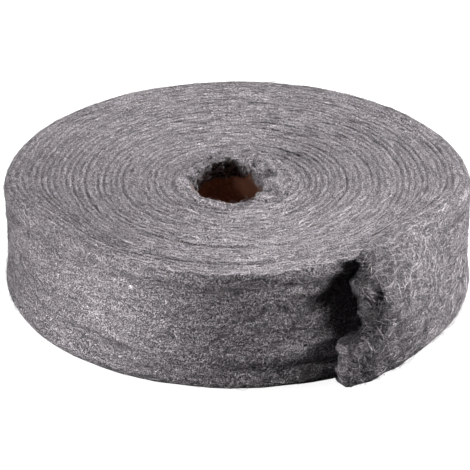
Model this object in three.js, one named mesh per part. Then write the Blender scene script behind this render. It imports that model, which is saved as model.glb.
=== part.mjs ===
// Steel wool roll: a ribbon of steel wool wound flat on a cardboard core.
// Millimetres, +Z up. The roll stands on one end face, with its origin on its axis at the base.

import * as THREE from "three";
import { mergeVertices } from "three/addons/utils/BufferGeometryUtils.js";

// Driving dimensions
const RIBBON_WIDTH = 100; // the height of the roll as it stands
const ROLL_RADIUS = 202; // axis to the end of the last turn, before its loose end springs open
const TURNS = 30;
const STEPS_PER_TURN = 48;

const CORE_BORE = 76.2; // a three-inch tube
const CORE_WALL = 3.9;
const CORE_SETBACK = 3; // how far the tube's top rim lies below the wool
const CLEARANCE = 0.3; // gap between the tube and the first turn

// Cross-section of the wound ribbon
const GROOVE_DEPTH = 1.8; // dip between neighbouring turns on the top face
const TOP_EDGE_RADIUS = 8; // rounding of the outer top edge
const BASE_EDGE_RADIUS = 11; // rounding of the outer bottom edge
const LIP_RADIUS = 5; // rounding where the wool meets the core
const WAIST_DEPTH = 2; // the side is a little slack at half height
const WALL_RINGS = 5;
const BASE_EDGE_RINGS = 4;
const RIM_INSET = 0.8; // where the top face hands over to the side wall
const LEAN = 24; // how far the top of the side leans in at the front, where the roll has slumped
const LEAN_REACH = 70; // width of the band of outer turns that lean with it

// Loose end of the ribbon
const END_ANGLE = THREE.MathUtils.degToRad(-60); // where the ribbon stops, seen from above
const END_SPAN = THREE.MathUtils.degToRad(52); // length of the stretch that has sprung open
const END_BULGE = 14; // how far the end stands proud of the roll
const END_SLUMP = 15; // how far the top corner of the end has sunk
const END_SLUMP_SPAN = THREE.MathUtils.degToRad(26);
const END_NOSE = 7; // how far the end's rounded nose runs on

const INNER_RADIUS = CORE_BORE / 2 + CORE_WALL + CLEARANCE;
const PITCH = (ROLL_RADIUS - INNER_RADIUS) / TURNS; // thickness of one wound layer
const LAST_STEP = TURNS * STEPS_PER_TURN;
const RIM_START = LAST_STEP - STEPS_PER_TURN; // from here on the ribbon's outer face is the side

// Angle at a step of the winding. The ribbon runs outwards clockwise, seen from above.
function angleAt(step) {
  return END_ANGLE + (2 * Math.PI * (LAST_STEP - step)) / STEPS_PER_TURN;
}

// Rises smoothly from 0, where a stretch before the loose end begins, to 1 at the end itself.
function towardsEnd(step, span) {
  return THREE.MathUtils.smoothstep(1 - (angleAt(step) - END_ANGLE) / span, 0, 1);
}

// Radius of the outer face of the ribbon at a step.
function outerRadius(step) {
  const wound = INNER_RADIUS + (PITCH * Math.max(step, 0)) / STEPS_PER_TURN;
  return wound + END_BULGE * towardsEnd(step, END_SPAN);
}

// The loose end has slumped, so its heights shrink towards its end.
function slumpScale(step) {
  return 1 - (END_SLUMP / RIBBON_WIDTH) * towardsEnd(step, END_SLUMP_SPAN);
}

function isOnRim(step) {
  return step >= RIM_START;
}

// The step of the outermost turn that lies at the same angle as a step further in.
function rimStepBeside(step) {
  const alongTurn = THREE.MathUtils.euclideanModulo(step, STEPS_PER_TURN);
  return step === LAST_STEP ? LAST_STEP : RIM_START + alongTurn;
}

// How far the top of the side leans in at an angle: fully all across the front, not at all at the back.
function leanAt(angle) {
  return LEAN * THREE.MathUtils.smoothstep(-Math.sin(angle), 0, 0.55);
}

// How far a quarter-round edge has dropped below its flat, at a distance in from the side.
function roundedDrop(distance, radius) {
  const run = Math.max(radius - Math.max(distance, RIM_INSET), 0);
  return radius - Math.sqrt(radius * radius - run * run);
}

// Height of the top face, before grooves, at a step and radius.
function topHeight(step, radius) {
  const edge = roundedDrop(outerRadius(rimStepBeside(step)) - radius, TOP_EDGE_RADIUS);
  const lip = roundedDrop(radius - INNER_RADIUS, LIP_RADIUS);
  return (RIBBON_WIDTH - edge - lip) * (isOnRim(step) ? slumpScale(step) : 1);
}

function pointAt(angle, radius, height) {
  return new THREE.Vector3(radius * Math.cos(angle), radius * Math.sin(angle), height);
}

// A point of the top face, moved in by the lean that its turn takes part in.
function topPointAt(angle, step, radius, height) {
  const distance = outerRadius(rimStepBeside(step)) - radius;
  const share = 1 - THREE.MathUtils.smoothstep(distance, 0, LEAN_REACH);
  return pointAt(angle, radius - leanAt(angle) * share, height);
}

// A point in the groove on the outer side of the ribbon, on the top face.
function groovePoint(step) {
  const radius = outerRadius(step) - (isOnRim(step) ? RIM_INSET : 0);
  const depth = isOnRim(step) ? 0 : GROOVE_DEPTH;
  return topPointAt(angleAt(step), step, radius, topHeight(step, radius) - depth);
}

// A point on the crest of the ribbon, half way between its two grooves.
// On the last step it runs on past the grooves, so that the loose end has a rounded nose.
function crestPoint(step) {
  const radius = (outerRadius(step - STEPS_PER_TURN) + outerRadius(step)) / 2;
  const nose = step === LAST_STEP ? END_NOSE / radius : 0;
  return topPointAt(angleAt(step) - nose, step, radius, topHeight(step, radius));
}

// Side wall from top to bottom, as insets from the outline, shares of the lean and heights.
function wallProfile() {
  const rings = [];
  const top = RIBBON_WIDTH - TOP_EDGE_RADIUS;
  for (let i = 0; i < WALL_RINGS; i += 1) {
    const fraction = i / (WALL_RINGS - 1);
    const height = THREE.MathUtils.lerp(top, BASE_EDGE_RADIUS, fraction);
    rings.push({ inset: WAIST_DEPTH * Math.sin(Math.PI * fraction), lean: (1 - fraction) ** 1.3, height });
  }
  for (let i = 1; i <= BASE_EDGE_RINGS; i += 1) {
    const angle = (Math.PI / 2) * (i / BASE_EDGE_RINGS);
    const inset = BASE_EDGE_RADIUS * (1 - Math.cos(angle));
    rings.push({ inset, lean: 0, height: BASE_EDGE_RADIUS * (1 - Math.sin(angle)) });
  }
  return rings;
}

// One closed ring of the side wall: once round the outer layer, then over its nose.
function wallRing({ inset, lean, height }) {
  const ring = [];
  for (let step = RIM_START; step <= LAST_STEP; step += 1) {
    const angle = angleAt(step);
    const radius = outerRadius(step) - inset - lean * leanAt(angle);
    ring.push(pointAt(angle, radius, height * slumpScale(step)));
  }
  const middle = (outerRadius(RIM_START) + outerRadius(LAST_STEP)) / 2;
  const nose = Math.max(END_NOSE - inset, 0) / middle;
  const radius = middle - inset - lean * leanAt(END_ANGLE);
  ring.push(pointAt(END_ANGLE - nose, radius, height * slumpScale(LAST_STEP)));
  return ring;
}

// Closed mesh from a list of triangles, with shared corners merged and slivers dropped.
function solidFrom(triangles) {
  const loose = new THREE.BufferGeometry().setFromPoints(triangles.flat());
  const merged = mergeVertices(loose, 1e-3);
  const index = merged.getIndex().array;
  const kept = [];
  for (let i = 0; i < index.length; i += 3) {
    const [a, b, c] = [index[i], index[i + 1], index[i + 2]];
    if (a !== b && b !== c && c !== a) kept.push(a, b, c);
  }
  merged.setIndex(kept);
  merged.computeVertexNormals();
  return merged;
}

function quad(triangles, a, b, c, d) {
  triangles.push([a, b, c], [a, c, d]);
}

function woolGeometry() {
  const triangles = [];

  // Top face: the ribbon's edge, turn after turn, from the core to the loose end.
  for (let step = 0; step < LAST_STEP; step += 1) {
    const crests = [crestPoint(step), crestPoint(step + 1)];
    const inner = [groovePoint(step - STEPS_PER_TURN), groovePoint(step + 1 - STEPS_PER_TURN)];
    const outer = [groovePoint(step), groovePoint(step + 1)];
    quad(triangles, inner[0], inner[1], crests[1], crests[0]);
    quad(triangles, crests[0], crests[1], outer[1], outer[0]);
  }

  // Side wall, from the rim of the top face down to the base.
  const rim = [];
  for (let step = RIM_START; step <= LAST_STEP; step += 1) rim.push(groovePoint(step));
  rim.push(crestPoint(LAST_STEP));
  const rings = [rim, ...wallProfile().map(wallRing)];
  for (let level = 0; level + 1 < rings.length; level += 1) {
    const [upper, lower] = [rings[level], rings[level + 1]];
    for (let i = 0; i < upper.length; i += 1) {
      const next = (i + 1) % upper.length;
      quad(triangles, upper[i], upper[next], lower[next], lower[i]);
    }
  }

  // Base, and the bore that the core fills. The nose's points all meet the bore at one place.
  const foot = rings.at(-1);
  for (let i = 0; i < foot.length; i += 1) {
    const next = (i + 1) % foot.length;
    const steps = [i, i + 1].map((n) => Math.min(n, STEPS_PER_TURN) - STEPS_PER_TURN);
    const [high, highNext] = steps.map(groovePoint);
    const [low, lowNext] = [high, highNext].map((point) => point.clone().setZ(0));
    quad(triangles, foot[i], foot[next], lowNext, low);
    quad(triangles, low, lowNext, highNext, high);
  }
  return solidFrom(triangles);
}

function coreGeometry() {
  const bore = CORE_BORE / 2;
  const outside = bore + CORE_WALL;
  const top = RIBBON_WIDTH - CORE_SETBACK;
  const profile = [
    new THREE.Vector2(bore, 0),
    new THREE.Vector2(outside, 0),
    new THREE.Vector2(outside, top),
    new THREE.Vector2(bore, top),
    new THREE.Vector2(bore, 0),
  ];
  const tube = new THREE.LatheGeometry(profile, STEPS_PER_TURN, END_ANGLE + Math.PI / 2);
  return tube.rotateX(Math.PI / 2);
}

const woolMaterial = new THREE.MeshStandardMaterial({
  color: 0x8e8b8c,
  roughness: 0.62,
  metalness: 0.55,
  side: THREE.FrontSide,
});
const cardboardMaterial = new THREE.MeshStandardMaterial({ color: 0x8a5f43, roughness: 0.9, metalness: 0 });

const roll = new THREE.Group();

const wool = new THREE.Mesh(woolGeometry(), woolMaterial);
wool.name = "wool_roll";
roll.add(wool);

const core = new THREE.Mesh(coreGeometry(), cardboardMaterial);
core.name = "core_tube";
roll.add(core);

export default roll;
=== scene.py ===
"""Steel wool roll: a ribbon of matted steel fibres wound flat on a cardboard core, with a loose end."""

import math

import bpy
import numpy as np
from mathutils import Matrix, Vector


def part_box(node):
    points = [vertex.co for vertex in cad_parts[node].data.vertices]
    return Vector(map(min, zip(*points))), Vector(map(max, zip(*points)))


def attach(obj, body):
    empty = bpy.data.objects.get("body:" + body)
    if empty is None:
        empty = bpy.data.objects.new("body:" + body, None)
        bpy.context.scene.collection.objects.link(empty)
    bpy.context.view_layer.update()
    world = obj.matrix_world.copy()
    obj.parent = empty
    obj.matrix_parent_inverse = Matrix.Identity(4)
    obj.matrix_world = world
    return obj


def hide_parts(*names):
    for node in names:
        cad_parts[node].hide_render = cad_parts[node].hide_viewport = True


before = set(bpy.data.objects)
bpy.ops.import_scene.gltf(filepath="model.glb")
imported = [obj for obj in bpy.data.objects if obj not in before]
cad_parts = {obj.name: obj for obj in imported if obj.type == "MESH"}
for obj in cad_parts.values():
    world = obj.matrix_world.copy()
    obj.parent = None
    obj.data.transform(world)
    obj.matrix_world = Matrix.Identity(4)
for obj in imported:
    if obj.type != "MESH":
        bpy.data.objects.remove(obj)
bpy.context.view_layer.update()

# Camera. It stands well back with a long lens and looks down on the roll.
# The sight point is on the roll's axis, a little under half its height.
roll_low, roll_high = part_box("wool_roll")
roll_height = roll_high.z - roll_low.z
camera_distance = 3.0
camera_elevation = math.radians(27.7)
sight_point = Vector((-0.001, 0.0, 0.448 * roll_height))

camera_data = bpy.data.cameras.new("camera")
camera_data.lens = 267.0
camera_data.clip_end = 60.0
camera = bpy.data.objects.new("camera", camera_data)
away = Vector((0.0, -math.cos(camera_elevation), math.sin(camera_elevation)))
camera.location = sight_point + away * camera_distance
camera.rotation_mode = "QUATERNION"
camera.rotation_quaternion = (-away).to_track_quat("-Z", "Y")
bpy.context.scene.collection.objects.link(camera)
bpy.context.scene.camera = camera
bpy.context.scene.view_settings.view_transform = "Standard"


# Floor. A pale studio table that is far wider than the view.
# It glows almost white, so that the roll casts next to no shadow, and it throws no light at the roll.
def pale_floor():
    half = 12.0
    corners = [(-half, -half, 0), (half, -half, 0), (half, half, 0), (-half, half, 0)]
    mesh = bpy.data.meshes.new("studio_floor")
    mesh.from_pydata(corners, [], [(0, 1, 2, 3)])
    paint = bpy.data.materials.new("pale_floor")
    paint.use_nodes = True
    shader = paint.node_tree.nodes["Principled BSDF"]
    shader.inputs["Base Color"].default_value = (0.4, 0.4, 0.4, 1.0)
    shader.inputs["Roughness"].default_value = 0.9
    shader.inputs["Specular IOR Level"].default_value = 0.0
    shader.inputs["Emission Color"].default_value = (1.0, 1.0, 1.0, 1.0)
    shader.inputs["Emission Strength"].default_value = 0.93
    mesh.materials.append(paint)
    made = bpy.data.objects.new("studio_floor", mesh)
    bpy.context.scene.collection.objects.link(made)
    # A hair below the roll, so that the two surfaces don't lie in one plane.
    made.location.z = -0.0004
    made.visible_diffuse = False
    made.visible_glossy = False
    return made


pale_floor()


# Lights. Three round soft boxes: one high up behind the roll, a low key at the left and a low one
# at the right. The side is bright at both ends, dim in front and darkest beside the loose end.
light_distance = 1.4


def soft_box(name, azimuth, elevation, size, power):
    """azimuth is the side it stands on, counted from +X towards +Y, in degrees."""
    data = bpy.data.lights.new(name, "AREA")
    data.shape = "DISK"
    data.size = size
    data.energy = power
    turn = math.radians(azimuth)
    rise = math.radians(elevation)
    level = math.cos(rise)
    towards = Vector((math.cos(turn) * level, math.sin(turn) * level, math.sin(rise)))
    made = bpy.data.objects.new(name, data)
    made.location = Vector((0.0, 0.0, roll_height / 2)) + towards * light_distance
    made.rotation_mode = "QUATERNION"
    made.rotation_quaternion = towards.to_track_quat("Z", "Y")
    made.visible_camera = False
    bpy.context.scene.collection.objects.link(made)
    return made


soft_box("overhead_light", azimuth=66, elevation=54, size=0.4, power=20.5)
soft_box("left_key_light", azimuth=206, elevation=8, size=0.35, power=24)
soft_box("right_light", azimuth=2, elevation=8, size=0.3, power=20)


# Room light. The roll gets only a dim fill from it, while the room itself looks white.
def studio_room():
    room = bpy.data.worlds.new("studio_room")
    room.use_nodes = True
    nodes = room.node_tree.nodes
    links = room.node_tree.links
    fill = nodes["Background"]
    fill.inputs["Color"].default_value = (0.9, 0.92, 1.0, 1.0)
    fill.inputs["Strength"].default_value = 0.008
    seen = nodes.new("ShaderNodeBackground")
    seen.inputs["Color"].default_value = (1.0, 1.0, 1.0, 1.0)
    path = nodes.new("ShaderNodeLightPath")
    mix = nodes.new("ShaderNodeMixShader")
    links.new(path.outputs["Is Camera Ray"], mix.inputs[0])
    links.new(fill.outputs[0], mix.inputs[1])
    links.new(seen.outputs[0], mix.inputs[2])
    links.new(mix.outputs[0], nodes["World Output"].inputs["Surface"])
    return room


bpy.context.scene.world = studio_room()


# Core tube. A three-inch tube of brown paper plies wound in a spiral and glued,
# cut square at both ends. The wool is wound tight on it, so nothing else holds it.
class Quantity:
    """A number carried by a node socket, so that a formula can be written as a formula."""

    def __init__(self, tree, socket):
        self.tree = tree
        self.socket = socket

    def math(self, operation, *others):
        made = self.tree.nodes.new("ShaderNodeMath")
        made.operation = operation
        for slot, value in zip(made.inputs, (self, *others)):
            feed(self.tree, slot, value)
        return Quantity(self.tree, made.outputs[0])

    def __add__(self, other):
        return self.math("ADD", other)

    def __sub__(self, other):
        return self.math("SUBTRACT", other)

    def __rsub__(self, other):
        return self.math("MULTIPLY", -1.0).math("ADD", other)

    def __mul__(self, other):
        return self.math("MULTIPLY", other)

    def __truediv__(self, other):
        return self.math("DIVIDE", other)

    def __rtruediv__(self, other):
        return self.math("POWER", -1.0) * other

    __rmul__ = __mul__


def feed(tree, slot, value):
    """Links a socket or a quantity to a node's input, or sets a plain value there."""
    if isinstance(value, Quantity):
        tree.links.new(value.socket, slot)
    elif isinstance(value, bpy.types.NodeSocket):
        tree.links.new(value, slot)
    else:
        slot.default_value = value


def place(tree, kind, inputs=None, **settings):
    """Adds a node, sets its properties and fills its inputs."""
    made = tree.nodes.new(kind)
    for name, value in settings.items():
        setattr(made, name, value)
    for name, value in (inputs or {}).items():
        feed(tree, made.inputs[name], value)
    return made


def vector(tree, x, y, z):
    return place(tree, "ShaderNodeCombineXYZ", {"X": x, "Y": y, "Z": z}).outputs[0]


def split(tree, socket):
    parts = place(tree, "ShaderNodeSeparateXYZ", {0: socket})
    return [Quantity(tree, part) for part in parts.outputs]


def noise(tree, socket, scale, detail=2.0, distortion=0.0):
    inputs = {"Vector": socket, "Scale": scale, "Detail": detail, "Distortion": distortion}
    return Quantity(tree, place(tree, "ShaderNodeTexNoise", inputs).outputs["Fac"])


def ease(tree, value, low, high, start=0.0, end=1.0):
    """Goes smoothly from start to end while value goes from low to high."""
    inputs = {"Value": value, "From Min": low, "From Max": high, "To Min": start, "To Max": end}
    made = place(tree, "ShaderNodeMapRange", inputs, interpolation_type="SMOOTHSTEP")
    return Quantity(tree, made.outputs[0])


def blend_colours(tree, share, first, second):
    made = place(tree, "ShaderNodeMix", data_type="RGBA")
    feed(tree, made.inputs["Factor"], share)
    feed(tree, made.inputs[6], first)
    feed(tree, made.inputs[7], second)
    return made.outputs[2]


core_low, core_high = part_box("core_tube")
core_radius = core_high.x
core_wall = 0.0039


def core_cardboard():
    """Brown paper with lighter flecks, a seam that climbs in a spiral, a greyer cut rim, and a painted pool
    of light on the wall.
    """
    made = bpy.data.materials.new("core_cardboard")
    made.use_nodes = True
    tree = made.node_tree
    shader = tree.nodes["Principled BSDF"]
    at = place(tree, "ShaderNodeTexCoord").outputs["Object"]
    x, y, z = split(tree, at)
    turn = y.math("ARCTAN2", x) / (2 * math.pi)
    seam_lead = 0.062
    climb = (z / seam_lead + turn).math("FRACT")
    seam = ease(tree, (climb - 0.5).math("ABSOLUTE"), 0.006, 0.022, 1.0, 0.0)
    flecks = noise(tree, at, 420.0, 4.0)
    cloud = noise(tree, at, 38.0, 3.0)
    wall_brown = blend_colours(tree, cloud, (0.20, 0.075, 0.042, 1.0), (0.36, 0.18, 0.11, 1.0))
    flecked = blend_colours(tree, ease(tree, flecks, 0.5, 0.72), wall_brown, (0.48, 0.29, 0.20, 1.0))
    seamed = blend_colours(tree, seam * 0.3, flecked, (0.07, 0.03, 0.015, 1.0))
    # A painted pool of light: a pale patch high on the inner wall at the back right, where light falls into
    # the tube.
    lit_patch_right = 0.014
    lit_patch_height = 0.079
    lit_patch_x = x - lit_patch_right
    lit_patch_z = z - lit_patch_height
    lit_patch_reach = (lit_patch_x * lit_patch_x + lit_patch_z * lit_patch_z).math("SQRT") + (cloud - 0.5) * 0.012
    painted_light = ease(tree, lit_patch_reach, 0.009, 0.021, 1.0, 0.0) * y.math("GREATER_THAN", 0.0)
    with_painted_light = blend_colours(tree, painted_light, seamed, (0.98, 0.74, 0.62, 1.0))
    rim = ease(tree, z, core_high.z - 0.0036, core_high.z - 0.0022)
    colour = blend_colours(tree, rim, with_painted_light, (0.22, 0.165, 0.155, 1.0))
    tree.links.new(colour, shader.inputs["Base Color"])
    rough = ease(tree, flecks, 0.3, 0.7, 0.72, 0.9)
    tree.links.new(rough.socket, shader.inputs["Roughness"])
    radius = (x * x + y * y).math("SQRT")
    plies_per_metre = 1300.0
    plies = (radius * (2 * math.pi * plies_per_metre)).math("SINE") * rim
    height = flecks * 0.35 + plies * 0.3 - seam
    bump = place(tree, "ShaderNodeBump", {"Strength": 0.5, "Distance": 0.0004, "Height": height})
    tree.links.new(bump.outputs[0], shader.inputs["Normal"])
    return made


def core_mesh():
    """The tube's wall, turned round the axis, with its cut ends worn a little round and wavy."""
    sides = 144
    bore = core_radius - core_wall
    bevel = 0.0006
    bottom = core_low.z
    worn_off = 0.0015
    worn_reach = 0.02
    bore_steps = 12
    top = core_high.z - worn_off
    outline = [(core_radius, top - bevel), (core_radius - bevel, top)]
    outline += [(bore + bevel, top), (bore, top - bevel)]
    outline += [(bore, top + (bottom - top) * step / bore_steps) for step in range(1, bore_steps)]
    outline += [(bore, bottom + bevel), (bore + bevel, bottom)]
    outline += [(core_radius - bevel, bottom), (core_radius, bottom + bevel)]
    points = []
    # The wall is dented by less than a millimetre, and its rim is worn down by up to two.
    for side in range(sides):
        turn = 2 * math.pi * side / sides
        dent = 0.00045 * math.sin(3 * turn + 0.7) + 0.0003 * math.sin(7 * turn)
        for radius, height in outline:
            inside = (core_radius - radius) / core_wall
            near_top = max(0.0, 1 - (top - height) / worn_reach)
            reach = radius - 0.0004 * inside + dent * inside * near_top
            drop = (0.0009 + 0.0009 * math.sin(5 * turn + 1.1)) * near_top * inside
            points.append((reach * math.cos(turn), reach * math.sin(turn), height - drop))
    count = len(outline)
    faces = []
    for side in range(sides):
        onward = (side + 1) % sides
        for n in range(count):
            after = (n + 1) % count
            faces.append((side * count + n, onward * count + n, onward * count + after, side * count + after))
    mesh = bpy.data.meshes.new("cardboard_core")
    mesh.from_pydata(points, [], faces)
    mesh.shade_smooth()
    mesh.materials.append(core_cardboard())
    return mesh


cardboard_core = bpy.data.objects.new("cardboard_core", core_mesh())
bpy.context.scene.collection.objects.link(cardboard_core)
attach(cardboard_core, "root")
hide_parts("core_tube")


# Wound roll. One long mat of steel fibres, about 5 mm thick and as wide as the roll is high,
# wound flat on the core. Nothing ties it: the turns hold by their tangled fibres.
# Its edge shows on both faces as a fine spiral of ridges and grooves.
def matted_steel():
    """The look of matted fibres: fine bright hairs, curled every way, over a darker ground."""
    group = bpy.data.node_groups.new("matted_steel", "ShaderNodeTree")
    group.interface.new_socket("Vector", in_out="INPUT", socket_type="NodeSocketVector")
    group.interface.new_socket("Hair Size", in_out="INPUT", socket_type="NodeSocketFloat")
    group.interface.new_socket("Ground", in_out="INPUT", socket_type="NodeSocketColor")
    group.interface.new_socket("Hair", in_out="INPUT", socket_type="NodeSocketColor")
    group.interface.new_socket("Color", in_out="OUTPUT", socket_type="NodeSocketColor")
    group.interface.new_socket("Roughness", in_out="OUTPUT", socket_type="NodeSocketFloat")
    group.interface.new_socket("Height", in_out="OUTPUT", socket_type="NodeSocketFloat")
    enter = group.nodes.new("NodeGroupInput")
    leave = group.nodes.new("NodeGroupOutput")
    size = Quantity(group, enter.outputs["Hair Size"])
    frequency = 1.0 / size
    hairs = None
    for layer, (finer, width) in enumerate(((0.45, 0.030), (0.8, 0.045), (1.5, 0.07))):
        aside = (layer * 3.7, layer * 1.9, 0)
        shift = place(group, "ShaderNodeVectorMath", {0: enter.outputs["Vector"], 1: aside})
        wave = noise(group, shift.outputs[0], frequency * finer, 1.0, 0.6)
        line = ease(group, (wave - 0.5).math("ABSOLUTE"), 0.0, width, 1.0, 0.0)
        hairs = line if hairs is None else hairs.math("MAXIMUM", line * 0.8)
    # Long strands that follow the winding, whether on a face or on the side.
    strands_per_metre = 430.0
    x, y, z = split(group, enter.outputs["Vector"])
    radius = (x * x + y * y).math("SQRT")
    sideways = (radius + z) * strands_per_metre
    strand_at = vector(group, x / radius * 9.0, y / radius * 9.0, sideways)
    strands = noise(group, strand_at, 1.0, 2.0)
    clumps = noise(group, enter.outputs["Vector"], frequency * 0.28, 3.0)
    grain = noise(group, enter.outputs["Vector"], frequency * 2.2, 2.0)
    specks = ease(group, grain, 0.43, 0.61)
    share = hairs * 0.5 + specks * 0.75 + (clumps - 0.5) * 0.25 + (strands - 0.5) * 0.5 - 0.17
    colour = blend_colours(group, share.math("MAXIMUM", 0.0), enter.outputs["Ground"], enter.outputs["Hair"])
    group.links.new(colour, leave.inputs["Color"])
    rough = ease(group, grain, 0.3, 0.7, 0.50, 0.68)
    group.links.new(rough.socket, leave.inputs["Roughness"])
    height = hairs * 0.6 + grain * 0.6 + clumps * 0.4 + strands * 0.55
    group.links.new(height.socket, leave.inputs["Height"])
    return group


matted_steel_look = matted_steel()


def steel_wool(name, ground, hair, bump_depth):
    made = bpy.data.materials.new(name)
    made.use_nodes = True
    tree = made.node_tree
    shader = tree.nodes["Principled BSDF"]
    at = place(tree, "ShaderNodeTexCoord").outputs["Object"]
    look = place(tree, "ShaderNodeGroup", node_tree=matted_steel_look)
    feed(tree, look.inputs["Vector"], at)
    look.inputs["Hair Size"].default_value = 0.0024
    look.inputs["Ground"].default_value = ground
    look.inputs["Hair"].default_value = hair
    # Painted shade: each point's stored amount darkens the colour towards near black, in grooves, creases and
    # hollows.
    gap = Quantity(tree, place(tree, "ShaderNodeAttribute", attribute_name="gap").outputs["Fac"])
    shade = (gap * 0.62).math("MINIMUM", 0.95)
    with_painted_shade = blend_colours(tree, shade, look.outputs["Color"], (0.035, 0.032, 0.033, 1.0))
    tree.links.new(with_painted_shade, shader.inputs["Base Color"])
    tree.links.new(look.outputs["Roughness"], shader.inputs["Roughness"])
    inputs = {"Strength": 0.9, "Distance": bump_depth, "Height": look.outputs["Height"]}
    tree.links.new(place(tree, "ShaderNodeBump", inputs).outputs[0], shader.inputs["Normal"])
    shader.inputs["Metallic"].default_value = 0.95
    return made


wound_wool = steel_wool("wound_wool", (0.10, 0.093, 0.098, 1.0), (0.74, 0.69, 0.725, 1.0), 0.0009)


def geometry_tree(name, sizes):
    """An empty Geometry Nodes tree with a geometry going in and out, and these named sizes."""
    tree = bpy.data.node_groups.new(name, "GeometryNodeTree")
    tree.interface.new_socket("Geometry", in_out="INPUT", socket_type="NodeSocketGeometry")
    for label, kind in sizes.items():
        tree.interface.new_socket(label, in_out="INPUT", socket_type=kind)
    tree.interface.new_socket("Geometry", in_out="OUTPUT", socket_type="NodeSocketGeometry")
    enter = tree.nodes.new("NodeGroupInput")
    leave = tree.nodes.new("NodeGroupOutput")
    return tree, enter, leave


def piece_from_tree(name, tree, values):
    """Runs a tree on an empty mesh and keeps its result as a plain mesh at the origin."""
    carrier = bpy.data.objects.new(name, bpy.data.meshes.new(name))
    bpy.context.scene.collection.objects.link(carrier)
    modifier = carrier.modifiers.new(name, "NODES")
    modifier.node_group = tree
    for item in tree.interface.items_tree:
        if item.item_type == "SOCKET" and item.in_out == "INPUT" and item.name in values:
            modifier[item.identifier] = values[item.name]
    graph = bpy.context.evaluated_depsgraph_get()
    mesh = bpy.data.meshes.new_from_object(carrier.evaluated_get(graph), depsgraph=graph)
    carrier.modifiers.remove(modifier)
    carrier.data = mesh
    mesh.name = name
    return carrier


def store(tree, geometry, name, value, kind="FLOAT", domain="POINT"):
    """Writes a value onto every point or corner, as a named attribute."""
    inputs = {"Geometry": geometry, "Name": name, "Value": value}
    made = place(tree, "GeometryNodeStoreNamedAttribute", inputs, data_type=kind, domain=domain)
    return made.outputs[0]


FLOAT = "NodeSocketFloat"
turns = 30
steps_per_turn = 400
end_angle = math.radians(-60)
roll_radius = 0.202
wool_bore = core_radius + 0.0003
slumped_edge = 0.006
crisp_edge = 0.007
hollow = 0.003
lean = 0.025
base_edge = 0.011


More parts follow.
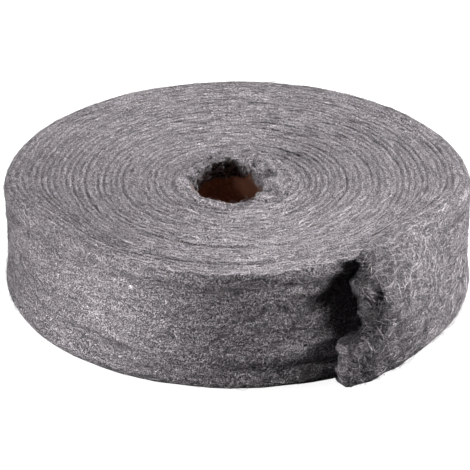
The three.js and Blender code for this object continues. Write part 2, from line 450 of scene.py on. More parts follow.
def wound_roll_tree():
    sizes = {
        "Turns": "NodeSocketInt",
        "Steps Per Turn": "NodeSocketInt",
        "Bore Radius": FLOAT,
        "Roll Radius": FLOAT,
        "Ribbon Width": FLOAT,
        "End Angle": FLOAT,
        "Crisp Edge": FLOAT,
        "Slumped Edge": FLOAT,
        "Hollow": FLOAT,
        "Lean": FLOAT,
        "Base Edge": FLOAT,
        "Lip": FLOAT,
        "Groove Depth": FLOAT,
        "Material": "NodeSocketMaterial",
    }
    tree, enter, leave = geometry_tree("wound_roll", sizes)
    size = {label: Quantity(tree, enter.outputs[label]) for label in sizes}
    pitch = (size["Roll Radius"] - size["Bore Radius"]) / size["Turns"]
    columns = 4

    def strip(across, rows, turns_long):
        """A flat strip: along it runs 0 to turns_long, across it 0 to 1."""
        steps = size["Steps Per Turn"] * turns_long + 1.0
        inputs = {"Size X": turns_long, "Size Y": 1.0, "Vertices X": steps, "Vertices Y": rows + 1}
        grid = place(tree, "GeometryNodeMeshGrid", inputs)
        x, y, _ = split(tree, place(tree, "GeometryNodeInputPosition").outputs[0])
        return grid.outputs["Mesh"], x + turns_long * 0.5, y + 0.5

    def sealed(part):
        """The last stretch of the ribbon thins out, so that the side closes on itself."""
        return pitch * ease(tree, part, 0.95, 1.0)

    def winding(along, inwards):
        """Angle, radius and distance from the side of a point of the ribbon."""
        angle = (size["Turns"] - along) * (2 * math.pi) + size["End Angle"]
        outer = size["Bore Radius"] + pitch * along - sealed(along - size["Turns"] + 1.0)
        inner = size["Bore Radius"] + pitch * (along - 1.0).math("MAXIMUM", 0.0)
        radius = outer - inwards * (outer - inner) if inwards else outer
        part = (along - 0.00001).math("FRACT")
        side = size["Bore Radius"] + pitch * (size["Turns"] - 1.0 + part) - sealed(part)
        return angle, radius, (side - radius - 0.00002).math("MAXIMUM", 0.0)

    def frontness(angle):
        """The roll has slumped in front: there its side leans in and its top edge is rounder."""
        return ease(tree, angle.math("SINE") * -1.0, 0.0, 0.55)

    def top_edge(angle):
        return size["Crisp Edge"] + (size["Slumped Edge"] - size["Crisp Edge"]) * frontness(angle)

    def rounded(distance, edge):
        """How far a quarter-round edge has turned away, at a distance in from the side."""
        run = (edge - distance).math("MAXIMUM", 0.0)
        return edge - (edge * edge - run * run).math("MAXIMUM", 0.0).math("SQRT")

    def lay(mesh, angle, radius, height):
        """Moves the points of a flat strip to their places on the roll."""
        position = vector(tree, radius * angle.math("COSINE"), radius * angle.math("SINE"), height)
        return place(tree, "GeometryNodeSetPosition", {"Geometry": mesh, "Position": position}).outputs[0]

    def map_onto(mesh, u, v):
        return store(tree, mesh, "OFBake", vector(tree, u, v, 0.0), "FLOAT2", "CORNER")

    def mark_painted_shade(mesh, share):
        """Stores how much painted shade darkens each point, deepest down in the grooves between turns and in
        the side's creases.
        """
        return store(tree, mesh, "gap", share)

    def face(rows, is_top):
        """The ribbon's edge on one face of the roll, from the core to the side."""
        mesh, along, across = strip(1.0, rows, size["Turns"])
        inwards = 1.0 - across
        angle, radius, distance = winding(along, inwards)
        if is_top:
            radius_here = radius - size["Lean"] * frontness(angle) * ease(tree, distance, 0.0, 0.07, 1.0, 0.0)
        else:
            radius_here = radius
        east = radius_here * angle.math("COSINE")
        north = radius_here * angle.math("SINE")
        flat = vector(tree, east, north, 0.0)
        # A groove's place on the winding, the same for the two turns that share it.
        groove_at = along - inwards
        seed = 0.0 if is_top else 40.0
        slack = noise(tree, vector(tree, groove_at * 2.3, seed, 0.0), 1.0, 1.0)
        depth = size["Groove Depth"] * ease(tree, slack, 0.45, 0.75, 0.45, 2.6)
        sharp = ((across - 0.5) * 2.0).math("ABSOLUTE").math("POWER", 2.5)
        crest = (noise(tree, vector(tree, along * 1.9, seed + 7.0, 0.0), 1.0, 1.0) - 0.5) * 0.0042
        tuft = (noise(tree, vector(tree, along * 46.0, seed + 13.0, 0.0), 1.0, 2.0) - 0.5) * 0.0022
        swell = (noise(tree, flat, 16.0, 2.0) - 0.5) * 0.004
        relief = (crest + tuft) * (1.0 - sharp) + swell - depth * sharp
        edge = rounded(distance, top_edge(angle) if is_top else size["Base Edge"])
        # The top face sinks a little towards the core.
        sunk = size["Hollow"] * ease(tree, radius, size["Bore Radius"], size["Roll Radius"] * 0.75, 1.0, 0.0)
        # The relief dies away at the rim and the bore, where the face meets the walls.
        settle = 0.001 if is_top else 0.002
        lip = rounded(radius - size["Bore Radius"], size["Lip"])
        calm = ease(tree, distance, 0.0, 0.004) * ease(tree, radius - size["Bore Radius"], 0.0, 0.003)
        worn = edge - (relief - settle) * calm
        if is_top:
            worn = worn + lip + sunk
        height = size["Ribbon Width"] - worn if is_top else worn.math("MAXIMUM", 0.0)
        # Painted shade down in the grooves between turns.
        shade = sharp * ease(tree, slack, 0.40, 0.72, 0.35, 1.0) * calm
        mesh = mark_painted_shade(mesh, shade)
        mesh = map_onto(mesh, east * 1.2 + (0.25 if is_top else 0.75), north * 1.2 + 0.25)
        return lay(mesh, angle, radius_here, height)

    def crease(z, path, width, depth):
        offset = (z - path) / width
        return depth * (offset * offset * -1.0).math("EXPONENT")

    def side_wall(rows):
        """The outer face of the last turn, with the creases that run round it."""
        mesh, along, up = strip(1.0, rows, 1.0)
        angle, radius, _ = winding(along + size["Turns"] - 1.0, 0.0)
        bottom = size["Base Edge"]
        top = size["Ribbon Width"] - top_edge(angle)
        z = bottom + (top - bottom) * up
        ends = ease(tree, up, 0.0, 0.06) * ease(tree, up, 0.92, 1.0, 1.0, 0.0)
        round_at = vector(tree, angle.math("COSINE"), angle.math("SINE"), z * 9.0)
        waist = ((up * math.pi).math("SINE")) * 0.0022
        low_path = (angle * 2.0 + 0.6).math("SINE") * 0.005 + 0.026
        low_depth = ease(tree, noise(tree, round_at, 1.3, 1.0), 0.3, 0.6, 0.0008, 0.0036)
        low = crease(z, low_path, 0.0032, low_depth)
        foot_path = (angle * 3.0 + 1.9).math("SINE") * 0.002 + 0.0155
        foot = crease(z, foot_path, 0.0026, 0.0013)
        high_path = (angle * 1.0 + 1.5).math("COSINE") * 0.006 + 0.079
        high = crease(z, high_path, 0.003, 0.0016)
        swell = (noise(tree, round_at, 2.4, 2.0) - 0.5) * 0.0035
        long_streaks = vector(tree, angle.math("COSINE") * 5.0, angle.math("SINE") * 5.0, z * 420.0)
        streaks = (noise(tree, long_streaks, 1.0, 2.0) - 0.5) * 0.0011
        inset = (waist + low + foot + high + swell + streaks) * ends
        # Painted shade along the creases.
        mesh = mark_painted_shade(mesh, (low + foot + high) * 220.0 * ends)
        mesh = map_onto(mesh, along * 0.98 + 0.01, up * 0.06 + 0.55)
        reach = radius - inset - size["Lean"] * frontness(angle) * up.math("POWER", 1.3)
        return lay(mesh, angle, reach, z)

    def bore_wall(rows):
        """The inner face of the first turn, against the core."""
        mesh, along, up = strip(1.0, rows, 1.0)
        angle = (size["Turns"] - along) * (2 * math.pi) + size["End Angle"]
        z = (size["Ribbon Width"] - size["Lip"] - size["Hollow"]) * up
        mesh = map_onto(mesh, along * 0.98 + 0.01, up * 0.06 + 0.65)
        return lay(mesh, angle, size["Bore Radius"], z)

    parts = [
        face(columns, True),
        place(tree, "GeometryNodeFlipFaces", {"Mesh": face(columns // 2, False)}).outputs[0],
        place(tree, "GeometryNodeFlipFaces", {"Mesh": side_wall(36)}).outputs[0],
        bore_wall(4),
    ]
    joined = tree.nodes.new("GeometryNodeJoinGeometry")
    for part in parts:
        tree.links.new(part, joined.inputs[0])
    merged = place(tree, "GeometryNodeMergeByDistance", {"Geometry": joined.outputs[0], "Distance": 0.00005})
    smooth = place(tree, "GeometryNodeSetShadeSmooth", {"Geometry": merged.outputs[0]})
    realized = place(tree, "GeometryNodeRealizeInstances", {"Geometry": smooth.outputs[0]})
    coloured = place(tree, "GeometryNodeSetMaterial", {"Geometry": realized.outputs[0]})
    feed(tree, coloured.inputs["Material"], size["Material"])
    tree.links.new(coloured.outputs[0], leave.inputs[0])
    return tree


wound_roll_sizes = {
    "Turns": turns,
    "Steps Per Turn": steps_per_turn,
    "Bore Radius": wool_bore,
    "Roll Radius": roll_radius,
    "Ribbon Width": roll_height,
    "End Angle": end_angle,
    "Crisp Edge": crisp_edge,
    "Slumped Edge": slumped_edge,
    "Hollow": hollow,
    "Lean": lean,
    "Base Edge": base_edge,
    "Lip": 0.0035,
    "Groove Depth": 0.0013,
    "Material": wound_wool,
}
wound_roll = piece_from_tree("wound_roll", wound_roll_tree(), wound_roll_sizes)
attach(wound_roll, "root")
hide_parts("wool_roll")


# Loose end. The last stretch of the mat has sprung open and frayed into a thick pad.
# It hangs over the slumped top edge, bulges from the side and ends in a torn lobe at the foot.
frayed_wool = steel_wool("frayed_wool", (0.08, 0.075, 0.079, 1.0), (0.68, 0.635, 0.667, 1.0), 0.0010)


def lumps(points, size, seed):
    """Soft uneven swellings, mostly between -1 and 1, about as wide as size."""
    rng = np.random.default_rng(seed)
    total = np.zeros(len(points))
    for _ in range(26):
        heading = rng.normal(size=3)
        heading /= np.linalg.norm(heading)
        wavelength = size * rng.uniform(0.8, 2.4)
        total += np.sin(points @ heading * (2 * math.pi / wavelength) + rng.uniform(0, 2 * math.pi))
    return total / 7.0


def smooth(value, low, high):
    share = np.clip((value - low) / (high - low), 0.0, 1.0)
    return share * share * (3.0 - 2.0 * share)


def pad_mesh(name, outer, inner, maps, painted_shade_amounts, material):
    """A closed pad from two matching sheets of points, each indexed [row, column]."""
    rows, columns = outer.shape[:2]
    count = rows * columns
    points = np.concatenate([outer.reshape(-1, 3), inner.reshape(-1, 3)])
    place_of = np.arange(count).reshape(rows, columns)
    a = place_of[:-1, :-1].ravel()
    b = place_of[:-1, 1:].ravel()
    c = place_of[1:, 1:].ravel()
    d = place_of[1:, :-1].ravel()
    front = np.stack([a, d, c, b], 1)
    back = np.stack([a, b, c, d], 1) + count
    rim = np.concatenate([place_of[0, :-1], place_of[:-1, -1], place_of[-1, :0:-1], place_of[:0:-1, 0]])
    onward = np.roll(rim, -1)
    border = np.stack([rim, onward, onward + count, rim + count], 1)
    faces = np.concatenate([front, back, border])
    mesh = bpy.data.meshes.new(name)
    mesh.from_pydata(points.tolist(), [], faces.tolist())
    table = np.concatenate([maps.reshape(-1, 2), maps.reshape(-1, 2) * (1.0, 0.04) + (0.0, 0.95)])
    corner_at = np.empty(len(mesh.loops), dtype=np.int32)
    mesh.loops.foreach_get("vertex_index", corner_at)
    mesh.uv_layers.new(name="OFBake").data.foreach_set("uv", table[corner_at].astype(np.float32).ravel())
    # The outer sheet carries the painted shade; the buried sheet gets none.
    depth = np.concatenate([painted_shade_amounts.ravel(), np.zeros(count)]).astype(np.float32)
    mesh.attributes.new("gap", "FLOAT", "POINT").data.foreach_set("value", depth)
    mesh.materials.append(material)
    mesh.shade_smooth()
    return mesh


def section_across(row_count, slumped, reach_in):
    """The roll's outline from its top face over the edge and down to the foot.
    Gives, for each row, the inset from the side, the height, and the outward direction."""
    arc = slumped * math.pi / 2
    flat_side = roll_height - slumped - base_edge
    foot_arc = base_edge * math.pi / 2
    total = reach_in + arc + flat_side + foot_arc
    along = np.linspace(0.0, total, row_count)
    swing = np.clip((along - reach_in) / slumped, 0.0, math.pi / 2)
    drop = np.clip(along - reach_in - arc, 0.0, flat_side)
    tuck = np.clip((along - reach_in - arc - flat_side) / base_edge, 0.0, math.pi / 2)
    inset = slumped * (1 - np.sin(swing)) + np.clip(reach_in - along, 0.0, None)
    inset = inset + base_edge * (1 - np.cos(tuck))
    height = roll_height - slumped * (1 - np.cos(swing)) - drop - base_edge * np.sin(tuck)
    outward = np.sin(swing) * np.cos(tuck)
    upward = np.where(tuck > 0, -np.sin(tuck), np.cos(swing))
    return inset, height, outward, upward


def loose_end_mesh():
    rows = 120
    nose_steps = 14
    length = 0.185
    inset, height, outward, upward = section_across(rows, slumped_edge, reach_in=0.018)
    z = height[:, None]
    on_top = smooth(inset, 0.001, 0.024)[:, None] * (z > 0.05)

    # Where the torn end lies, as a distance round the roll from the end of the winding.
    retreat = 0.003 * smooth(z, 0.076, 0.060) + 0.011 * smooth(z, 0.078, 0.096)
    lobe = -0.028 * smooth(z, 0.046, 0.035) * (1.0 - 0.09 * smooth(z, 0.012, 0.038))
    tear = 0.007 + retreat + lobe + 0.034 * on_top
    ragged = 0.0016 * np.sin(z * 290.0 + 1.0) + 0.0009 * np.sin(z * 760.0)

    # Across the end the pad is rounded like a nose, then it thins out along the roll.
    nose = 0.007
    turned = np.linspace(0.0, math.pi / 2, nose_steps)[None, :]
    stretch = np.linspace(0.0, 1.0, 131)[None, 1:] ** 1.25
    run = np.concatenate([nose * (1 - np.cos(turned)), nose + stretch * (length - nose)], 1)
    share = np.concatenate([np.sin(turned), np.ones_like(stretch)], 1)
    from_end = np.broadcast_to(run, (rows, run.shape[1]))
    # The way round the roll of every point, from the end of the winding.
    way = tear + from_end * (1 - tear / length) + ragged * np.exp(-from_end / 0.008)

    full = 0.0035 + 0.0120 * smooth(z, 0.099, 0.074) - 0.002 * smooth(z, 0.060, 0.040)
    full = full - 0.0035 * smooth(z, 0.034, 0.004) - 0.0025 * smooth(z, 0.050, 0.036)
    fade_high = 1 - smooth(way, 0.015, 0.150)
    fade_low = 1 - smooth(way, -0.012, 0.095)
    fade = fade_high + (fade_low - fade_high) * smooth(z, 0.040, 0.010)
    thick = full * share * fade
    thick = thick * (1 - 0.95 * on_top)

    mid_reach = 0.203
    angle = end_angle + way / mid_reach
    turn = (angle - end_angle) / (2 * math.pi)
    side = wool_bore + (roll_radius - wool_bore) * (turns - turn) / turns
    level = np.broadcast_to(z, way.shape)
    flat = np.stack([side * np.cos(angle), side * np.sin(angle), level], -1).reshape(-1, 3)
    broad = lumps(flat, 0.034, 3).reshape(way.shape)
    fine = lumps(flat, 0.011, 8).reshape(way.shape)
    tiny = lumps(flat, 0.0042, 21).reshape(way.shape)
    present = smooth(thick, 0.0008, 0.006)
    thick = thick + present * (broad * 0.0013 + fine * 0.0005 + tiny * 0.0003)

    # A hollow pocket behind the torn strip, and the sharp crease along its far side.
    pocket = np.exp(-(((way - 0.0155) / 0.0080) ** 2) - ((z - 0.063) / 0.018) ** 2)
    crease_at = 0.018 + (0.083 - z) * 0.37
    crease = np.exp(-(((way - crease_at) / 0.0022) ** 2) - ((z - 0.072) / 0.012) ** 2)
    notch_at = 0.043 + (way - 0.002) * 0.28
    notch = np.exp(-(((z - notch_at) / 0.0028) ** 2)) * smooth(way, -0.016, -0.004)
    notch = notch * (1 - smooth(way, 0.018, 0.036))
    fold_at = 0.040 + 0.20 * (0.095 - z)
    fold = np.exp(-(((way - fold_at) / 0.006) ** 2)) * smooth(z, 0.045, 0.060)
    low_fold = np.exp(-(((z - 0.030 - way * 0.10) / 0.004) ** 2)) * smooth(way, 0.020, 0.050)
    dents = 0.0042 * pocket + 0.0009 * crease + 0.0022 * notch + 0.0016 * fold + 0.0008 * low_fold
    thick = thick - present * dents

    # All round its border the pad dips just under the roll's own surface.
    border = smooth(np.arange(rows)[:, None], 0, 9) * smooth(rows - 1 - np.arange(rows)[:, None], 0, 4)
    end = from_end / length
    sunk = np.maximum(1 - border * share, smooth(end, 0.75, 1.0))
    thick = thick * border * (1 - smooth(end, 0.9, 1.0)) - 0.0018 * sunk
    up = np.clip((z - base_edge) / (roll_height - slumped_edge - base_edge), 0, 1)
    leaning = np.where(up < 1, up**1.3, 1 - smooth(inset, 0, 0.07)[:, None])
    slack = 0.002 * np.sin(up * math.pi) + lean * smooth(-np.sin(angle), 0.0, 0.55) * leaning

    def sheet(depth):
        reach = side - inset[:, None] - slack + depth * outward[:, None]
        rise = np.maximum(z + depth * upward[:, None], 0.0)
        return np.stack([reach * np.cos(angle), reach * np.sin(angle), rise], -1)

    maps = np.stack(np.broadcast_arrays(from_end / length * 0.96 + 0.02, z * 8.0 + 0.03), -1)
    # Painted shade: towards the torn end, where the mat is open, the colour is darkened, most high on the
    # side, and also in the pocket, along the crease and notch, and low on the lobe.
    streaks = lumps(flat * (3.0, 3.0, 0.8), 0.010, 31).reshape(way.shape)
    near_torn_end = 1 - smooth(way, 0.010, 0.100)
    shaded = np.exp(-(((way - 0.0140) / 0.0110) ** 2) - ((z - 0.061) / 0.020) ** 2)
    low_shade = smooth(z, 0.046, 0.036) * (1 - smooth(from_end, 0.012, 0.045))
    dark = (0.42 + 0.30 * smooth(streaks, 0.0, 0.9)) * near_torn_end * (1 - on_top)
    dark = dark * (0.9 + 0.9 * smooth(z, 0.058, 0.078)) + 0.25 * low_shade
    painted_shade_amounts = np.clip(dark + 0.7 * shaded + 0.4 * crease + 0.6 * notch, 0, 1.2)
    buried = -0.005
    inner = sheet(np.full_like(thick, buried))
    return pad_mesh("loose_end", sheet(thick), inner, maps, painted_shade_amounts, frayed_wool)


loose_end = bpy.data.objects.new("loose_end", loose_end_mesh())
bpy.context.scene.collection.objects.link(loose_end)
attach(loose_end, "root")


# Inner fringe. The inner end of the mat, pulled loose round the mouth of the core.
# It hangs over the far side of the tube and into it, and lies as a flap over the right of the mouth.
def inner_fringe_mesh():
    rows = 44
    columns = 260
    angle = np.linspace(-math.pi, math.pi, columns + 1)[None, :-1]
    across = np.linspace(0.0, 1.0, rows)[:, None]
    degrees = np.degrees(angle)

    def around(centre, half_width):
        away = np.abs((degrees - centre + 180) % 360 - 180)
        return 1 - smooth(away, half_width * 0.55, half_width)

    wander = 0.5 + 0.5 * np.sin(angle * 7 + 1.3) * np.sin(angle * 4 + 0.4)
    ragged = 0.5 + 0.5 * np.sin(angle * 23 + 2.0) * np.sin(angle * 17)
    present = np.maximum(around(112, 100), around(-6, 76))
    flap = 0.010 * around(-5, 72) + 0.009 * around(35, 60)
    inward = 0.0006 + 0.0052 * present + 0.0045 * around(112, 80) + flap * (0.88 + 0.24 * wander)
    inward = inward + (1 - present) * (0.0003 + 0.0013 * wander + 0.0006 * ragged)
    hang = 0.0115 * around(140, 92) + 0.003 * around(10, 60)
    hang = hang * (0.72 + 0.28 * wander + 0.16 * ragged) * smooth(inward, 0.0035, 0.0060)
    body = 0.0012 + 0.0034 * around(112, 90) + 0.0022 * around(20, 60)

    # The path runs in over the wool, across the tube's rim and down inside it.
    mouth = wool_bore + 0.0005
    brink = core_high.z - 0.0008
    swing = across * math.pi
    reach = mouth + 0.011 * (1 - smooth(across, 0.0, 0.42)) - inward * smooth(across, 0.30, 0.68)
    rise = brink + body * np.sin(swing) ** 0.7 - hang * smooth(across, 0.60, 1.0) - 0.0006 * (1 - present)
    flat = np.stack(np.broadcast_arrays(reach * np.cos(angle), reach * np.sin(angle), rise), -1)
    shape = flat.shape[:2]
    rough = lumps(flat.reshape(-1, 3), 0.009, 5).reshape(shape) * 0.0018
    rough = rough + lumps(flat.reshape(-1, 3), 0.0035, 6).reshape(shape) * 0.0009
    swell = np.sin(swing) ** 0.6 * rough
    reach = reach - swell * smooth(across, 0.4, 0.8)
    rise = rise + swell
    start = smooth(across, 0.0, 0.12)
    rise = rise - 0.004 * (1 - start)
    thickness = 0.0022 * np.sin(np.clip(across, 0.04, 0.985) * math.pi) + 0.0004
    outer = np.stack([reach * np.cos(angle), reach * np.sin(angle), rise + 0 * angle], -1)
    back = reach + thickness * smooth(across, 0.35, 0.75)
    under = rise - thickness * (1 - smooth(across, 0.5, 0.9))
    inner = np.stack([back * np.cos(angle), back * np.sin(angle), under], -1)

    # Painted shade: it is darkened where it hangs into the tube, darkest in the pits between its strands, and
    # in a spot at the right of the mouth.
    pits = lumps(flat.reshape(-1, 3), 0.005, 8).reshape(shape)
    pits = pits + lumps(flat.reshape(-1, 3), 0.0025, 9).reshape(shape)
    behind_edge = around(118, 96) * smooth(across, 0.42, 0.62)
    shaded_spot = around(14, 22) * smooth(across, 0.40, 0.50) * (1 - smooth(across, 0.62, 0.74))
    painted_shade_amounts = behind_edge * (0.25 + 1.25 * smooth(pits, -0.1, 0.65)) + 1.3 * shaded_spot
    painted_shade_amounts = painted_shade_amounts + 0.9 * smooth(pits, 0.55, 1.2) * around(112, 110) * smooth(across, 0.12, 0.4)

    count = rows * columns
    points = np.concatenate([outer.reshape(-1, 3), inner.reshape(-1, 3)])
    place_of = np.arange(count).reshape(rows, columns)
    onward = np.roll(place_of, -1, 1)
    front = np.stack([place_of[:-1], onward[:-1], onward[1:], place_of[1:]], -1).reshape(-1, 4)
    behind = np.stack([place_of[:-1], place_of[1:], onward[1:], onward[:-1]], -1).reshape(-1, 4) + count
    first = np.stack([place_of[0], place_of[0] + count, onward[0] + count, onward[0]], -1)
    last = np.stack([place_of[-1], onward[-1], onward[-1] + count, place_of[-1] + count], -1)
    mesh = bpy.data.meshes.new("inner_fringe")
    mesh.from_pydata(points.tolist(), [], np.concatenate([front, behind, first, last]).tolist())
    # Its underside gets full painted shade.
    depth = np.concatenate([painted_shade_amounts.ravel(), np.ones(count)]).astype(np.float32)
    mesh.attributes.new("gap", "FLOAT", "POINT").data.foreach_set("value", depth)
    mesh.materials.append(wound_wool)
    mesh.shade_smooth()
    return mesh


inner_fringe = bpy.data.objects.new("inner_fringe", inner_fringe_mesh())
bpy.context.scene.collection.objects.link(inner_fringe)
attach(inner_fringe, "root")


# Fibres. Fine steel wire shavings, curled and tangled, that stand clear of the mat they belong to.
# Most follow the winding. Each set is grown over the surface of one piece and holds by its tangle.
def bright_fibre():
    made = bpy.data.materials.new("bright_fibre")
    made.use_nodes = True
    tree = made.node_tree
    shader = tree.nodes["Principled BSDF"]
    tone, along, _ = split(tree, place(tree, "ShaderNodeUVMap", uv_map="OFBake").outputs[0])
    dull = (0.15, 0.140, 0.147, 1.0)
    bright = (0.84, 0.79, 0.825, 1.0)
    colour = blend_colours(tree, tone.math("POWER", 1.8), dull, bright)
    tree.links.new(colour, shader.inputs["Base Color"])
    rough = ease(tree, tone, 0.0, 1.0, 0.64, 0.50)
    tree.links.new(rough.socket, shader.inputs["Roughness"])
    shader.inputs["Metallic"].default_value = 0.95
    return made


steel_fibre = bright_fibre()


def fibre_tree():
    sizes = {
        "Surface": "NodeSocketObject",
        "Fibres Per Area": FLOAT,
        "Lowest Tilt": FLOAT,
        "Highest Tilt": FLOAT,
        "Least Radius": FLOAT,
        "Least Outward": FLOAT,
        "Length": FLOAT,
        "Thickness": FLOAT,
        "Spread": FLOAT,
        "Curl": FLOAT,
        "Lift": FLOAT,
        "Seed": "NodeSocketInt",
        "Material": "NodeSocketMaterial",
    }
    tree, enter, leave = geometry_tree("fibres", sizes)
    size = {label: Quantity(tree, enter.outputs[label]) for label in sizes}
    surface = place(tree, "GeometryNodeObjectInfo", {"Object": size["Surface"]}).outputs["Geometry"]

    def chance(low, high, number, **identity):
        made = place(tree, "FunctionNodeRandomValue", data_type="FLOAT")
        feed(tree, made.inputs[2], low)
        feed(tree, made.inputs[3], high)
        for label, value in identity.items():
            feed(tree, made.inputs[label], value)
        feed(tree, made.inputs["Seed"], size["Seed"] + number)
        return Quantity(tree, made.outputs[1])

    # Where the fibres start: on the part of the surface that tilts as wanted.
    x, y, _ = split(tree, place(tree, "GeometryNodeInputPosition").outputs[0])
    east, north, tilt = split(tree, place(tree, "GeometryNodeInputNormal").outputs[0])
    radius = (x * x + y * y).math("SQRT")
    wanted = tilt.math("GREATER_THAN", size["Lowest Tilt"]) * tilt.math("LESS_THAN", size["Highest Tilt"])
    wanted = wanted * radius.math("GREATER_THAN", size["Least Radius"])
    wanted = wanted * ((east * x + north * y) / radius).math("GREATER_THAN", size["Least Outward"])
    spots = place(tree, "GeometryNodeDistributePointsOnFaces", distribute_method="RANDOM")
    feed(tree, spots.inputs["Mesh"], surface)
    feed(tree, spots.inputs["Selection"], wanted)
    feed(tree, spots.inputs["Density"], size["Fibres Per Area"])
    feed(tree, spots.inputs["Seed"], size["Seed"])

    # How each lies: along the winding, turned a little to one side or the other.
    onward = vector(tree, y * -1.0, x, 0.0)
    lying = place(tree, "FunctionNodeAxesToRotation", primary_axis="Z", secondary_axis="X")
    feed(tree, lying.inputs[0], spots.outputs["Normal"])
    feed(tree, lying.inputs[1], onward)
    slant = chance(-1.0, 1.0, 1)
    slanted = slant * slant * slant * size["Spread"] + slant * size["Spread"] * 0.35
    about = place(tree, "FunctionNodeAxisAngleToRotation", {"Axis": (0.0, 0.0, 1.0), "Angle": slanted})
    turned = place(tree, "FunctionNodeRotateRotation", rotation_space="LOCAL")
    feed(tree, turned.inputs[0], lying.outputs[0])
    feed(tree, turned.inputs[1], about.outputs[0])

    half = size["Length"] * 0.5
    line = place(tree, "GeometryNodeCurvePrimitiveLine")
    feed(tree, line.inputs["Start"], vector(tree, half * -1.0, 0.0, 0.0))
    feed(tree, line.inputs["End"], vector(tree, half, 0.0, 0.0))
    points_per_fibre = 6
    inputs = {"Curve": line.outputs[0], "Count": points_per_fibre}
    beads = place(tree, "GeometryNodeResampleCurve", inputs)
    longer = chance(0.45, 1.4, 2)
    laid = place(tree, "GeometryNodeInstanceOnPoints", {"Points": spots.outputs[0]})
    feed(tree, laid.inputs["Instance"], beads.outputs[0])
    feed(tree, laid.inputs["Rotation"], turned.outputs[0])
    feed(tree, laid.inputs["Scale"], vector(tree, longer, 1.0, 1.0))
    free = place(tree, "GeometryNodeRealizeInstances", {"Geometry": laid.outputs[0]})

    # Each fibre curls its own way, and is then laid back on the surface with a little slack.
    which = place(tree, "GeometryNodeCurveOfPoint").outputs["Curve Index"]
    own = vector(tree, *(chance(-9.0, 9.0, number, ID=which) for number in (3, 4, 5)))
    here = place(tree, "GeometryNodeInputPosition").outputs[0]
    bends_per_metre = 55.0
    inputs = {0: here, 1: (bends_per_metre, bends_per_metre, bends_per_metre)}
    scaled = place(tree, "ShaderNodeVectorMath", inputs, operation="MULTIPLY")
    moved = place(tree, "ShaderNodeVectorMath", {0: scaled.outputs[0], 1: own}, operation="ADD")
    swirl = place(tree, "ShaderNodeTexNoise", {"Vector": moved.outputs[0], "Scale": 1.0, "Detail": 1.0})
    inputs = {0: swirl.outputs["Color"], 1: (0.5, 0.5, 0.5)}
    centred = place(tree, "ShaderNodeVectorMath", inputs, operation="SUBTRACT")
    curled = place(tree, "ShaderNodeVectorMath", {0: centred.outputs[0]}, operation="SCALE")
    feed(tree, curled.inputs["Scale"], size["Curl"])
    bent = place(tree, "GeometryNodeSetPosition", {"Geometry": free.outputs[0], "Offset": curled.outputs[0]})
    near = place(tree, "GeometryNodeProximity", target_element="FACES")
    feed(tree, near.inputs[0], surface)
    up = place(tree, "GeometryNodeSampleNearestSurface", data_type="FLOAT_VECTOR")
    feed(tree, up.inputs["Mesh"], surface)
    feed(tree, up.inputs["Value"], place(tree, "GeometryNodeInputNormal").outputs[0])
    share = Quantity(tree, place(tree, "GeometryNodeSplineParameter").outputs["Factor"])
    arch = (share * math.pi).math("SINE")
    slack = chance(0.0, 1.0, 6, ID=which).math("POWER", 3.0)
    raised = size["Thickness"] * 0.3 + size["Lift"] * arch * slack
    rise = place(tree, "ShaderNodeVectorMath", {0: up.outputs[0]}, operation="SCALE")
    feed(tree, rise.inputs["Scale"], raised)
    resting = place(tree, "GeometryNodeSetPosition", {"Geometry": bent.outputs[0]})
    feed(tree, resting.inputs["Position"], near.outputs[0])
    feed(tree, resting.inputs["Offset"], rise.outputs[0])
    least_height = 0.0004
    fibre_x, fibre_y, fibre_z = split(tree, place(tree, "GeometryNodeInputPosition").outputs[0])
    off_floor = vector(tree, fibre_x, fibre_y, fibre_z.math("MAXIMUM", least_height))
    inputs = {"Geometry": resting.outputs[0], "Position": off_floor}
    clear = place(tree, "GeometryNodeSetPosition", inputs).outputs[0]

    # Each becomes a thin three-sided wire with tapered tips.
    taper = 1.0 - ((share - 0.5) * 2.0).math("ABSOLUTE").math("POWER", 4.0) * 0.75
    girth = size["Thickness"] * 0.5 * taper * chance(0.6, 1.25, 7, ID=which)
    sides = place(tree, "GeometryNodeCurvePrimitiveCircle", {"Resolution": 3, "Radius": 1.0})
    toned = store(tree, clear, "tone", chance(0.0, 1.0, 8, ID=which))
    marked = store(tree, toned, "part", share)
    inputs = {"Curve": marked, "Profile Curve": sides.outputs[0], "Scale": girth, "Fill Caps": True}
    wire = place(tree, "GeometryNodeCurveToMesh", inputs).outputs[0]
    tone = place(tree, "GeometryNodeInputNamedAttribute", {"Name": "tone"}, data_type="FLOAT").outputs[0]
    part = place(tree, "GeometryNodeInputNamedAttribute", {"Name": "part"}, data_type="FLOAT").outputs[0]
    mapped = store(tree, wire, "OFBake", vector(tree, tone, part, 0.0), "FLOAT2", "CORNER")
    whole = place(tree, "GeometryNodeRealizeInstances", {"Geometry": mapped})
    coloured = place(tree, "GeometryNodeSetMaterial", {"Geometry": whole.outputs[0]})
    feed(tree, coloured.inputs["Material"], size["Material"])
    tree.links.new(coloured.outputs[0], leave.inputs[0])
    return tree


fibres_on_surface = fibre_tree()
fibre_thickness = 0.00028


def grow_fibres(name, surface, sizes):
    """Grows one set of fibres over a piece. Tilt is how far a surface faces up, from -1 to 1."""
    values = {"Surface": surface, "Thickness": fibre_thickness, "Material": steel_fibre, **sizes}
    made = piece_from_tree(name, fibres_on_surface, values)
    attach(made, "root")
    return made


bpy.context.view_layer.update()
top_fibres_sizes = {
    "Fibres Per Area": 45000.0,
    "Lowest Tilt": 0.5,
    "Highest Tilt": 1.1,
    "Least Radius": 0.043,
    "Least Outward": -2.0,
    "Length": 0.014,
    "Spread": 0.5,
    "Curl": 0.006,
    "Lift": 0.002,
    "Seed": 11,
}
grow_fibres("top_fibres", wound_roll, top_fibres_sizes)

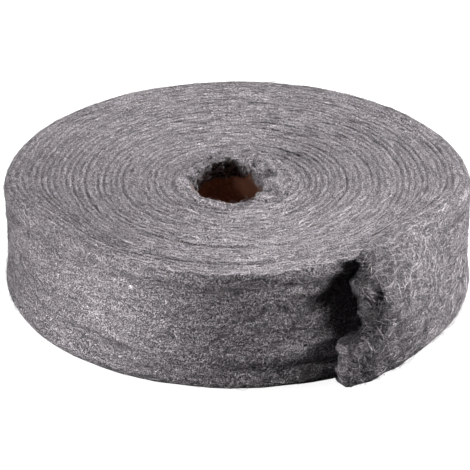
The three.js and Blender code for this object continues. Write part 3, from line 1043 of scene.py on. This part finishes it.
side_fibres_sizes = {
    "Fibres Per Area": 50000.0,
    "Lowest Tilt": -0.5,
    "Highest Tilt": 0.5,
    "Least Radius": 0.15,
    "Least Outward": 0.0,
    "Length": 0.015,
    "Spread": 0.7,
    "Curl": 0.008,
    "Lift": 0.002,
    "Seed": 12,
}
grow_fibres("side_fibres", wound_roll, side_fibres_sizes)

loose_end_fibres_sizes = {
    "Fibres Per Area": 115000.0,
    "Lowest Tilt": -0.6,
    "Highest Tilt": 1.1,
    "Least Radius": 0.0,
    "Least Outward": -0.2,
    "Length": 0.013,
    "Spread": 1.4,
    "Curl": 0.012,
    "Lift": 0.003,
    "Seed": 13,
}
grow_fibres("loose_end_fibres", loose_end, loose_end_fibres_sizes)

fringe_fibres_sizes = {
    "Fibres Per Area": 100000.0,
    "Lowest Tilt": -1.1,
    "Highest Tilt": 1.1,
    "Least Radius": 0.0,
    "Least Outward": -2.0,
    "Length": 0.012,
    "Spread": 2.4,
    "Curl": 0.014,
    "Lift": 0.005,
    "Seed": 14,
}
grow_fibres("fringe_fibres", inner_fringe, fringe_fibres_sizes)
